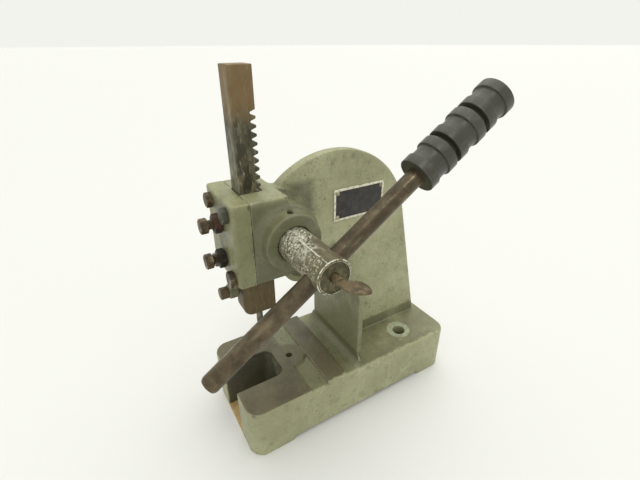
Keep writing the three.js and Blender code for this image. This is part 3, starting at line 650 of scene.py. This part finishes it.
# Distances across the flats, and where the heads end: from the front of the press for the cover
# bolts and the lock screw, and from the piece's own outer end for the others
fastener = {
    "segments": 96,
    "thread": 1.25 * mm,
    "threadDepth": 0.55 * mm,
    "coverBoltFlats": 11.8 * mm,
    "bigBoltFlats": 14 * mm,
    "coverBoltRadius": 3.0 * mm,
    "coverHeadEnd": 12.0 * mm,
    "gibScrewFlats": 11.8 * mm,
    "gibScrewRadius": 4.1 * mm,
    "gibHeadEnd": 6.5 * mm,
    "locknutFlats": 15.2 * mm,
    "locknutBore": 4.35 * mm,
    "lockScrewFlats": 10 * mm,
    "lockScrewRadius": 3 * mm,
    "lockHeadEnd": 10.3 * mm,
    "endBoltFlats": 14.3 * mm,
    "endBoltRadius": 3.8 * mm,
    "endHeadEnd": 5.6 * mm,
}


# One cover bolt is a newer, blued one
def bluedBolt(tree, coords, colour):
    newer = ((10 * mm, front, 0.238), (30 * mm, front + 14 * mm, 0.256))
    return layered(tree, colour, (insideBox(tree, coords, *newer, 0.5), 0.75, linear("#484D45")))


boltMaterial = agedSteel("rustedBoltSteel", "#5B4E38", "#2D261B", "#A09472", "#5E3F24",
                         rustAmount=0.5, roughness=0.4, metallic=0.45, grainMm=0.6,
                         paleAmount=0.8, more=[bluedBolt])

gibNutLow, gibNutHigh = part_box("gib_locknut_upper")
gibScrewZ = (gibNutLow.z + gibNutHigh.z) / 2


# Water has run onto the upper nut: orange rust on its top, old oil below. The lighter top half is
# also painted light on its upper facets.
def rustedLitTop(tree, coords, colour):
    top = ((-0.02, front, gibScrewZ - 1.5 * mm), (0.02, front + 0.03, gibScrewZ + 20 * mm))
    return layered(tree, colour, (insideBox(tree, coords, *top, 1.5, 1.0), 0.7, linear("#513627")))


upperNutSteel = agedSteel("rustedNutSteel", "#3B3229", "#211C17", "#75684F", "#6A3E26",
                          rustAmount=0.6, roughness=0.5, metallic=0.3, grainMm=0.5,
                          more=[rustedLitTop])
lowerNutSteel = agedSteel("oilBlackNutSteel", "#35302A", "#1C1916", "#6B6451", "#54392A",
                          rustAmount=0.45, roughness=0.42, metallic=0.5, grainMm=0.5)
count = fastener["segments"]

boltLow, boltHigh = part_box("cover_bolt_upper_left")
rightLow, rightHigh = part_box("cover_bolt_upper_right")
lowerLow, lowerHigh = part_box("cover_bolt_lower_left")
coverHeadEnd = fastener["coverHeadEnd"] + front
boltTemplate = ringStack(
    "boltTemplate",
    hexRings(fastener["coverBoltFlats"], boltLow.y, coverHeadEnd, count, bothEnds=False)
    + [(fastener["coverBoltRadius"], coverHeadEnd),
       (fastener["coverBoltRadius"], boltHigh.y - 1 * mm), (2.2 * mm, boltHigh.y)],
    Vector((0, 0, 0)), yAxis, count, 28)


# Four bolts at the corners of a rectangle, each turned to where the spanner left it, and one of
# them, counted from 0, perhaps with a wider head
def boltGrid(name, template, width, height, centre, material, seed, standing, wider=-1, growth=1.0):
    tree = bpy.data.node_groups.new(name, "GeometryNodeTree")
    sockets = {}
    for label, kind, value in (("Width", "NodeSocketFloat", width),
                               ("Height", "NodeSocketFloat", height),
                               ("Centre", "NodeSocketVector", centre),
                               ("Seed", "NodeSocketInt", seed),
                               ("Wider", "NodeSocketInt", wider),
                               ("Growth", "NodeSocketFloat", growth)):
        socket = tree.interface.new_socket(name=label, in_out="INPUT", socket_type=kind)
        sockets[label] = (socket.identifier, value)
    tree.interface.new_socket(name="Geometry", in_out="OUTPUT", socket_type="NodeSocketGeometry")
    given = addNode(tree, "NodeGroupInput")
    grid = addNode(tree, "GeometryNodeMeshGrid", None,
                   {"Size X": given.outputs["Width"], "Size Y": given.outputs["Height"],
                    "Vertices X": 2, "Vertices Y": 2})
    stood = addNode(tree, "GeometryNodeTransform", None,
                    {"Geometry": grid.outputs["Mesh"], "Translation": given.outputs["Centre"],
                     "Rotation": standing})
    piece = addNode(tree, "GeometryNodeObjectInfo", None, {"Object": template})
    turn = addNode(tree, "FunctionNodeRandomValue", {"data_type": "FLOAT"},
                   {2: 0.0, 3: math.pi / 3, "Seed": given.outputs["Seed"]})
    along = 1 if standing[0] else 0
    spin = addNode(tree, "ShaderNodeCombineXYZ", None, {along: turn.outputs[1]})
    number = addNode(tree, "GeometryNodeInputIndex")
    chosen = addNode(tree, "FunctionNodeCompare", {"data_type": "INT", "operation": "EQUAL"},
                     {2: number.outputs[0], 3: given.outputs["Wider"]})
    widening = addNode(tree, "GeometryNodeSwitch", {"input_type": "FLOAT"},
                       {"Switch": chosen.outputs[0], "False": 1.0,
                        "True": given.outputs["Growth"]})
    across = [axis for axis in range(3) if axis != along]
    girth = addNode(tree, "ShaderNodeCombineXYZ", None,
                    {along: 1.0, across[0]: widening.outputs[0], across[1]: widening.outputs[0]})
    copies = addNode(tree, "GeometryNodeInstanceOnPoints", None,
                     {"Points": stood.outputs[0], "Instance": piece.outputs["Geometry"],
                      "Rotation": spin.outputs[0], "Scale": girth.outputs[0]})
    real = addNode(tree, "GeometryNodeRealizeInstances", None, {0: copies.outputs[0]})
    coated = addNode(tree, "GeometryNodeSetMaterial", None,
                     {"Geometry": real.outputs[0], "Material": material})
    result = addNode(tree, "NodeGroupOutput")
    tree.links.new(coated.outputs[0], result.inputs[0])
    obj = newObject(name, bpy.data.meshes.new(name))
    modifier = obj.modifiers.new("copies", "NODES")
    modifier.node_group = tree
    for identifier, value in sockets.values():
        modifier[identifier] = value
    applyModifiers(obj)
    bpy.data.objects.remove(template)
    return obj


middleX = (boltLow.x + boltHigh.x + rightLow.x + rightHigh.x) / 4
upperZ = (boltLow.z + boltHigh.z) / 2
lowerZ = (lowerLow.z + lowerHigh.z) / 2
coverBolts = boltGrid("coverBolts", boltTemplate,
                      (rightLow.x + rightHigh.x) / 2 - (boltLow.x + boltHigh.x) / 2,
                      upperZ - lowerZ, (middleX, 0, (upperZ + lowerZ) / 2), boltMaterial, 4,
                      (math.pi / 2, 0, 0), wider=2,
                      growth=fastener["bigBoltFlats"] / fastener["coverBoltFlats"])
place(coverBolts, boltMaterial, "frame", "cover_bolt_upper_left", "cover_bolt_upper_right",
      "cover_bolt_lower_left", "cover_bolt_lower_right")


def gibScrew(node, name, body):
    low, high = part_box(node)
    axisPoint = Vector((0, 0, (low.z + high.z) / 2))
    headEnd = low.y + fastener["gibHeadEnd"]
    rings = hexRings(fastener["gibScrewFlats"], low.y, headEnd, count)
    rings += [(fastener["gibScrewRadius"] - 0.1 * mm, headEnd)]
    rings += threadRings(fastener["gibScrewRadius"], headEnd + 0.1 * mm, high.y - 1 * mm,
                         fastener["thread"], fastener["threadDepth"], count)
    rings += [(3.2 * mm, high.y)]
    return place(ringStack(name, rings, axisPoint, yAxis, count, 30), boltMaterial, body, node)


gibScrew("gib_screw_upper", "gibScrewUpper", "upper_gib_screw")
gibScrew("gib_screw_lower", "gibScrewLower", "lower_gib_screw")


# A nut is a closed ring: hexagon outside, bore inside
def hexNut(node, name, body, material):
    low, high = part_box(node)
    boreRadius = fastener["locknutBore"]
    axisPoint = Vector((0, 0, (low.z + high.z) / 2))
    outer = hexRings(fastener["locknutFlats"], low.y, high.y, count)
    rings = [(boreRadius, low.y + 0.8 * mm), (boreRadius + 0.6 * mm, low.y)] + outer
    rings += [(boreRadius + 0.6 * mm, high.y), (boreRadius, high.y - 0.8 * mm)]
    obj = ringStack(name, rings, axisPoint, yAxis, count, 30)
    openBore(obj, axisPoint, yAxis)
    return place(obj, material, body, node)


# Takes out the two end fans of a ring stack and joins its first and last rings through the bore
def openBore(obj, origin, axis):
    bm = bmesh.new()
    bm.from_mesh(obj.data)
    ends = [v for v in bm.verts
            if ((v.co - origin) - axis * (v.co - origin).dot(axis)).length < 0.05 * mm]
    bmesh.ops.delete(bm, geom=ends, context="VERTS")
    rims = [edge for edge in bm.edges if edge.is_boundary]
    bmesh.ops.bridge_loops(bm, edges=rims)
    bmesh.ops.recalc_face_normals(bm, faces=bm.faces)
    for face in bm.faces:
        face.smooth = True
    bm.to_mesh(obj.data)
    bm.free()
    obj.data.set_sharp_from_angle(angle=math.radians(30))


openBore(washer, washerAxis, xAxis)
hexNut("gib_locknut_upper", "locknutUpper", "upper_locknut", upperNutSteel)
hexNut("gib_locknut_lower", "locknutLower", "lower_locknut", lowerNutSteel)

lockLow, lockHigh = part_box("ram_lock_screw")
lockAxis = Vector((0, 0, (lockLow.z + lockHigh.z) / 2))
lockHeadEnd = front + fastener["lockHeadEnd"]
lockRadius = fastener["lockScrewRadius"]
lockRings = hexRings(fastener["lockScrewFlats"], lockLow.y, lockHeadEnd, count, bothEnds=False)
lockRings += [(lockRadius, lockHeadEnd), (lockRadius, lockHigh.y - 0.8 * mm),
              (2.2 * mm, lockHigh.y)]
place(ringStack("ramLockScrew", lockRings, lockAxis, yAxis, count, 30), boltMaterial, "lock_screw",
      "ram_lock_screw")

endLow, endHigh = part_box("pinion_retaining_bolt")
endHeadEnd = endLow.x + fastener["endHeadEnd"]
endRings = hexRings(fastener["endBoltFlats"], endLow.x, endHeadEnd, count, bothEnds=False)
endRings += [(fastener["endBoltRadius"], endHeadEnd), (fastener["endBoltRadius"], endHigh.x)]
place(ringStack("shaftEndBolt", endRings, washerAxis, xAxis, count, 30), boltMaterial, "pinion",
      "pinion_retaining_bolt")
print("fasteners placed")


handle = {
    "rodX": 90.3 * mm,
    "rodRadius": 7.2 * mm,
    "rodLow": -114 * mm,
    "rodHigh": 184 * mm,
    "gripLow": 97.5 * mm,
    "gripHigh": 189 * mm,
    "gripRadius": 15.7 * mm,
    "gapRadius": 10.4 * mm,
    "gap": 4.8 * mm,
    "drums": 3,
}
rodOrigin = Vector((handle["rodX"], hubAxisPoint.y, hubAxisPoint.z))
low, high, radius = handle["rodLow"], handle["rodHigh"], handle["rodRadius"]
rodProfile = [(radius * 0.3, low), (radius * 0.62, low + 0.05 * mm),
              (radius * 0.86, low + 0.7 * mm), (radius * 0.97, low + 2.0 * mm),
              (radius, low + 3.4 * mm)]
rodProfile += [(radius, along) for along in np.linspace(low + 6 * mm, high - 1 * mm, 60)]
rodProfile += [(radius - 1 * mm, high)]
rod = ringStack("handleRod", rodProfile, rodOrigin, handleAxis, 72)
roughen(rod, 0.12, 9)


# Patterns on the handle run along it, so its material reads a turned copy of the coordinates
def alongHandle(tree, coords):
    turned = addNode(tree, "ShaderNodeVectorRotate", {"rotation_type": "X_AXIS"},
                     {"Vector": coords, "Center": rodOrigin,
                      "Angle": -math.atan2(handleAxis.z, handleAxis.y)})
    return turned.outputs[0]


def rodWear(tree, coords, colour):
    turned = alongHandle(tree, coords)
    return layered(
        tree, colour,
        (patches(tree, turned, 6, 0.52, 0.72, detail=9, stretch=(1, 0.25, 1), shift=41), 0.45,
         linear("#8C8468")),
        (patches(tree, turned, 12, 0.55, 0.7, detail=6, shift=43), 0.45, linear("#3D3322")))


rodMaterial = agedSteel("oxidisedBarSteel", "#5F533F", "#3F3626", "#857B60", "#5A4029",
                        rustAmount=0.25, roughness=0.27, metallic=0.55, paleAmount=0.3,
                        more=[rodWear])
place(rod, rodMaterial, "handle", "handle_rod")


# The grip is turned as three drums on one core, each with a raised rim at both ends
def gripProfile():
    pitch = (handle["gripHigh"] - handle["gripLow"] + handle["gap"]) / handle["drums"]
    drum = pitch - handle["gap"]
    r = handle["gripRadius"]
    points = []
    for i in range(handle["drums"]):
        base = handle["gripLow"] + i * pitch
        points += [
            (r - 0.5 * mm, base),
            (r - 0.4 * mm, base + 8.2 * mm),
            (r - 1.7 * mm, base + 8.8 * mm),
            (r - 1.9 * mm, base + drum * 0.5),
            (r - 1.7 * mm, base + drum - 9.1 * mm),
            (r, base + drum - 8.5 * mm),
            (r, base + drum),
        ]
        if i < handle["drums"] - 1:
            points += [(handle["gapRadius"], base + drum), (handle["gapRadius"], base + pitch)]
    return roundProfile([(7.5 * mm, handle["gripLow"])] + points + [(0.4 * mm, handle["gripHigh"])],
                        0.55 * mm, 5)


grip = ringStack("drumGrip", gripProfile(), rodOrigin, handleAxis, 128, 50)
roughen(grip, 0.15, 12)


# Dark moulded plastic with a satin skin: hands have polished the drums grey, and painted shade,
# with some dirt, darkens the gaps
def mouldedPlastic():
    material, tree, coords = newMaterial("mouldedBlackPlastic")
    turned = alongHandle(tree, coords)
    scuffs = patches(tree, turned, 3, 0.5, 0.72, detail=9, stretch=(1, 0.4, 1), shift=3)
    colour = layered(
        tree, linear("#34332A"),
        (patches(tree, turned, 20, 0.35, 0.7), 0.6, linear("#434236")),
        (scuffs, 0.2, linear("#74735F")),
        (patches(tree, turned, 1.2, 0.5, 0.7, detail=6, shift=9), 0.3, linear("#2B2A24")),
        (together(tree, nearEdge(tree, 1.2, True, 0.5, 0.85),
                  patches(tree, turned, 3, 0.3, 0.6, shift=12)), 0.5, linear("#8A897C")),
        # painted shade, with some dirt, in the gaps and corners
        (nearEdge(tree, 4, False, 0.3, 0.85), 0.85, linear("#1A1916")))
    normal = relief(tree, (patches(tree, turned, 5, 0.25, 0.8, shift=14), 0.2, 0.4),
                    (patches(tree, turned, 0.9, 0.25, 0.8, detail=5, shift=5), 0.05, 0.4))
    rough = addNode(tree, "ShaderNodeMapRange", None,
                    {"Value": scuffs, "To Min": 0.33, "To Max": 0.45})
    shader = addNode(tree, "ShaderNodeBsdfPrincipled", None,
                     {"Base Color": colour, "Roughness": rough.outputs["Result"], "IOR": 1.5,
                      "Normal": normal})
    finishMaterial(tree, shader)
    return material


place(grip, mouldedPlastic(), "handle", "handle_grip")

thumbSkin = {"voxelMm": 0.3, "smoothing": 4, "triangles": 50000}
thumb = skinOf("thumb_screw", "thumbScrew", **thumbSkin)
roughen(thumb, 0.25, 3.5)
evenShading(thumb)
thumbMaterial = agedSteel("forgedTabSteel", "#6B5D42", "#3C3222", "#988B6C", "#5F452B",
                          rustAmount=0.4, roughness=0.44, metallic=0.35, grainMm=0.6)
place(thumb, thumbMaterial, "thumb", "thumb_screw")
print("handle placed")


plateValues = {"border": 2.2 * mm, "black": "#1E1C1A", "worn": "#37342E", "ivory": "#DCD8C4",
               "stain": "#A39D83"}


# Etched aluminium with a black fill and a bare border, quite blank
def plateMaterial():
    material, tree, coords = newMaterial("etchedPlate")
    inset = plateValues["border"]
    inner = insideBox(tree, coords, (-1, plateLow.y + inset, plateLow.z + inset),
                      (1, plateHigh.y - inset, plateHigh.z - inset), 0.12)
    black = layered(tree, linear(plateValues["black"]),
                    (patches(tree, coords, 5, 0.4, 0.7), 1.0, linear(plateValues["worn"])))
    ivory = layered(tree, linear(plateValues["ivory"]),
                    (patches(tree, coords, 2, 0.45, 0.7, shift=4), 1.0,
                     linear(plateValues["stain"])))
    shader = addNode(tree, "ShaderNodeBsdfPrincipled", None,
                     {"Base Color": layered(tree, ivory, (inner, 1.0, black)), "Roughness": 0.42,
                      "Metallic": 0.15,
                      "Normal": relief(tree, (patches(tree, coords, 1.2, 0.3, 0.7), 0.05, 0.4))})
    finishMaterial(tree, shader)
    return material


def bevelledSheet(name, lowCorner, highCorner, cornerRadius, bevel):
    bm = bmesh.new()
    bmesh.ops.create_cube(bm, size=1)
    bmesh.ops.scale(bm, vec=highCorner - lowCorner, verts=bm.verts)
    bmesh.ops.translate(bm, vec=(lowCorner + highCorner) / 2, verts=bm.verts)
    thin = min(range(3), key=lambda i: (highCorner - lowCorner)[i])
    corners = [e for e in bm.edges
               if abs((e.verts[0].co - e.verts[1].co)[thin]) > 0.5 * (highCorner - lowCorner)[thin]]
    bmesh.ops.bevel(bm, geom=corners, offset=cornerRadius, segments=6, affect="EDGES", profile=0.5)
    rims = [e for e in bm.edges if e.calc_face_angle(0) > 1.0]
    bmesh.ops.bevel(bm, geom=rims, offset=bevel, segments=3, affect="EDGES", profile=0.5)
    mesh = bpy.data.meshes.new(name)
    bm.to_mesh(mesh)
    bm.free()
    for polygon in mesh.polygons:
        polygon.use_smooth = True
    mesh.set_sharp_from_angle(angle=math.radians(40))
    return newObject(name, mesh)


sheet = bevelledSheet("blankPlate", plateLow, plateHigh, 1.6 * mm, 0.2 * mm)
place(sheet, plateMaterial(), "frame", "nameplate")

rivetLow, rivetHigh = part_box("nameplate_rivet_lower_front")
farLow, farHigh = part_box("nameplate_rivet_upper_rear")
rivet = {"shank": 1.0 * mm, "radius": 2.1 * mm, "height": 1.05 * mm}
underHead = rivetHigh.x - 1.1 * mm
dome = [(rivet["shank"], rivetLow.x), (rivet["shank"], underHead), (rivet["radius"], underHead)]
dome += [(rivet["radius"] * math.cos(t), rivetHigh.x + rivet["height"] * (math.sin(t) - 1))
         for t in np.linspace(0.1, 1.45, 7)]
rivetTemplate = ringStack("rivetTemplate", dome, Vector((0, 0, 0)), xAxis, 32, 40)
rivetMaterial = agedSteel("dullRivetSteel", "#A39C84", "#6B6450", "#CFC9B2", "#7A6446",
                          rustAmount=0.3, roughness=0.4, metallic=0.5, grainMm=0.5)
rivets = boltGrid("plateRivets", rivetTemplate, farLow.z - rivetLow.z, farLow.y - rivetLow.y,
                  (0, (rivetLow.y + farHigh.y) / 2, (rivetLow.z + farHigh.z) / 2), rivetMaterial, 7,
                  (0, math.pi / 2, 0))
place(rivets, rivetMaterial, "frame", "nameplate_rivet_upper_front", "nameplate_rivet_upper_rear",
      "nameplate_rivet_lower_front", "nameplate_rivet_lower_rear")


# Cork-and-rubber sheet: tan, with crumbs about 1 mm across
def corkSheet():
    material, tree, coords = newMaterial("corkRubberSheet")
    crumbs = addNode(tree, "ShaderNodeTexVoronoi", None,
                     {"Vector": coords, "Scale": 700.0}).outputs["Distance"]
    colour = layered(tree, linear("#CBAF7B"), (crumbs, 1.0, linear("#AC8F5E")),
                     (patches(tree, coords, 14, 0.4, 0.7), 0.8, linear("#94794F")))
    shader = addNode(tree, "ShaderNodeBsdfPrincipled", None,
                     {"Base Color": colour, "Roughness": 0.85,
                      "Normal": relief(tree, (crumbs, 0.15, 0.5))})
    finishMaterial(tree, shader)
    return material


padLow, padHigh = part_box("base_pad")
pad = bevelledSheet("footPad", padLow, padHigh, 1 * mm, 0.35 * mm)
place(pad, corkSheet(), "frame", "base_pad")

gibMaterial = agedSteel("groundGibSteel", "#4E493E", "#302D27", "#87806E", "#5A4630",
                        rustAmount=0.2, roughness=0.4)
nodes["gib_strip"].data.materials.clear()
nodes["gib_strip"].data.materials.append(gibMaterial)
print("small pieces placed")


studio = {
    "floor": "#DCDCDA",
    "sky": "#F5F6F0",
    "skyStrength": 0.97,
    "lamp": "#FFFEFA",
    "overhead": (1.18, 70, (0.35, -0.55, -1.4)),
    "glint": (0.4, 20, (-0.45, 0.20, -0.87)),
}

floorMesh = bpy.data.meshes.new("studioFloor")
bm = bmesh.new()
bmesh.ops.create_circle(bm, cap_ends=True, segments=96, radius=30)
bm.to_mesh(floorMesh)
bm.free()
floor = newObject("studioFloor", floorMesh)
floorMaterial, floorTree = newMaterial("paleFloor")[:2]
finishMaterial(floorTree, addNode(floorTree, "ShaderNodeBsdfPrincipled", None,
                                  {"Base Color": linear(studio["floor"]), "Roughness": 0.6}))
floor.data.materials.append(floorMaterial)

world = bpy.data.worlds.new("studioSky")
world.use_nodes = True
background = world.node_tree.nodes["Background"]
background.inputs["Color"].default_value = linear(studio["sky"])
background.inputs["Strength"].default_value = studio["skyStrength"]
bpy.context.scene.world = world


# A broad lamp far overhead, so that the floor is lit evenly to its edge, and a small weak one to
# the right and in front, which leaves a bright line on the bar and the drums
def sunLamp(name, energy, angleDegrees, direction):
    lamp = bpy.data.lights.new(name, "SUN")
    lamp.energy = energy
    lamp.angle = math.radians(angleDegrees)
    lamp.color = linear(studio["lamp"])[:3]
    holder = bpy.data.objects.new(name, lamp)
    holder.rotation_euler = Vector(direction).to_track_quat("-Z", "Y").to_euler()
    bpy.context.scene.collection.objects.link(holder)


sunLamp("overhead", *studio["overhead"])
sunLamp("glint", *studio["glint"])

# The camera stands where the press was seen from: to the right of it, above, and close
view = {
    "location": (0.2900, -0.3002, 0.3670),
    "azimuth": math.radians(58.97),
    "elevation": math.radians(27.56),
    "roll": -0.004,
    "lens": 21.64,
}
turn, rise = view["azimuth"], view["elevation"]
forward = Vector((-math.sin(turn) * math.cos(rise), math.cos(turn) * math.cos(rise),
                  -math.sin(rise)))
right = forward.cross(zAxis).normalized()
up = right.cross(forward)
tiltedRight = right * math.cos(view["roll"]) + up * math.sin(view["roll"])
tiltedUp = up * math.cos(view["roll"]) - right * math.sin(view["roll"])
axes = Matrix((tiltedRight, tiltedUp, -forward)).transposed().to_4x4()
cameraData = bpy.data.cameras.new("camera")
cameraData.lens = view["lens"]
cameraData.sensor_width = 36
cameraData.clip_start = 0.01
camera = bpy.data.objects.new("camera", cameraData)
camera.matrix_world = Matrix.Translation(view["location"]) @ axes
bpy.context.scene.collection.objects.link(camera)
bpy.context.scene.camera = camera
bpy.context.scene.view_settings.view_transform = "Standard"
